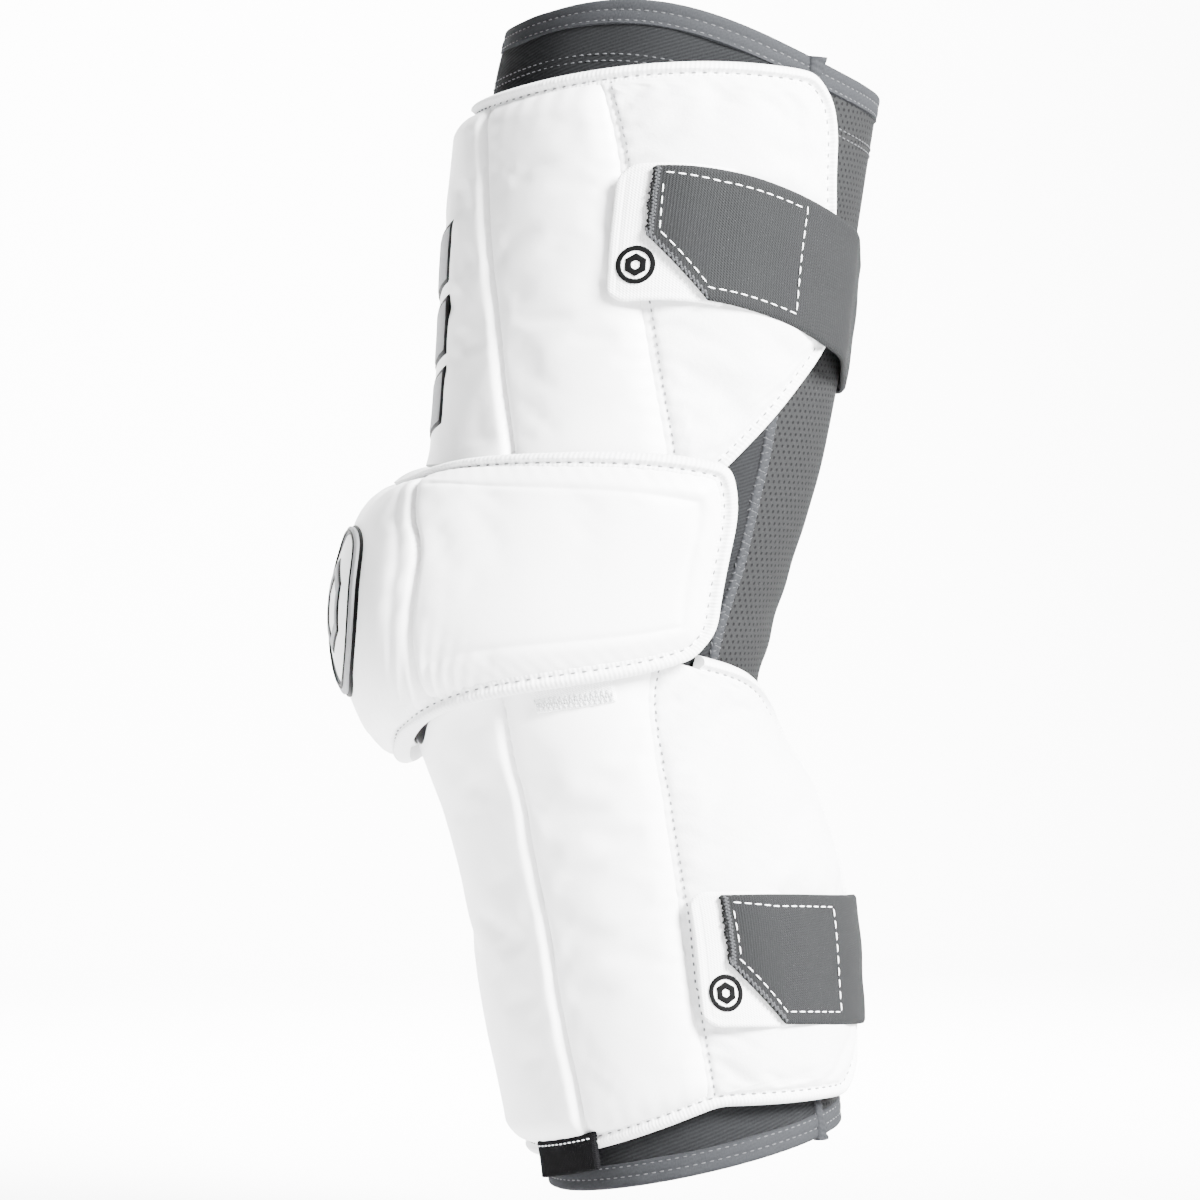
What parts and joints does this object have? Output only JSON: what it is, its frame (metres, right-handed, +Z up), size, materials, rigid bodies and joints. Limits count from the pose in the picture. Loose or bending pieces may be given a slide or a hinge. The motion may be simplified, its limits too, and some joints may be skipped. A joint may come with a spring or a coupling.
{
  "type": "lacrosse arm pad",
  "caption": "Sleeve-shaped sports arm guard with padded upper and forearm panels, a raised elbow cap and elastic wrap straps.",
  "frame": {"origin": "middle of the arm hollow at the elbow, where the arm goes through", "axes": "+Z up along the upper arm, towards the shoulder; the elbow faces -X, the inside of the arm +X, the strap ends are on -Y"},
  "size_m": [0.1853, 0.145, 0.3927],
  "materials": {
    "knit": "knitted stretch polyester, dark grey, fine diagonal rib",
    "perforated_knit": "perforated stretch mesh, mid grey",
    "sleeve_band": "folded hem and overlocked seam, mid grey",
    "coated_shell": "smooth matt polyurethane-coated synthetic leather over foam, white",
    "brushed_jersey": "brushed jersey over soft foam, white",
    "binding_tape": "ribbed stretch binding tape with a stitched row, white",
    "badge": "moulded rubber-like plastic, white and grey",
    "elastic": "woven elastic webbing, grey",
    "hook_tab": "fine hook-and-loop fabric, white",
    "label": "folded woven tape, black"
  },
  "bodies": {
    "root": {"badge_plate": "badge", "badge_ring": "badge", "cap_tab_far": "hook_tab", "cap_tab_near": "hook_tab", "elbow_cap_binding": "binding_tape", "elbow_cap_center": "coated_shell", "elbow_cap_side_far": "coated_shell", "elbow_cap_side_near": "coated_shell", "hem_label": "label", "lower_binding": "binding_tape", "lower_ridge": "coated_shell", "lower_side_far": "coated_shell", "lower_side_near": "coated_shell", "lower_strap": "elastic", "lower_strap_tab": "hook_tab", "lower_wing_far": "brushed_jersey", "lower_wing_near": "brushed_jersey", "ridge_bar_1": "badge", "ridge_bar_2": "badge", "ridge_bar_3": "badge", "sleeve_bottom_hem": "sleeve_band", "sleeve_front_panel": "knit", "sleeve_inner_panel": "perforated_knit", "sleeve_seam_far": "sleeve_band", "sleeve_seam_near": "sleeve_band", "sleeve_top_hem": "sleeve_band", "upper_binding": "binding_tape", "upper_ridge": "coated_shell", "upper_side_far": "coated_shell", "upper_side_near": "coated_shell", "upper_strap": "elastic", "upper_strap_tab": "hook_tab", "upper_wing_far": "brushed_jersey", "upper_wing_near": "brushed_jersey"}
  },
  "joints": []
}
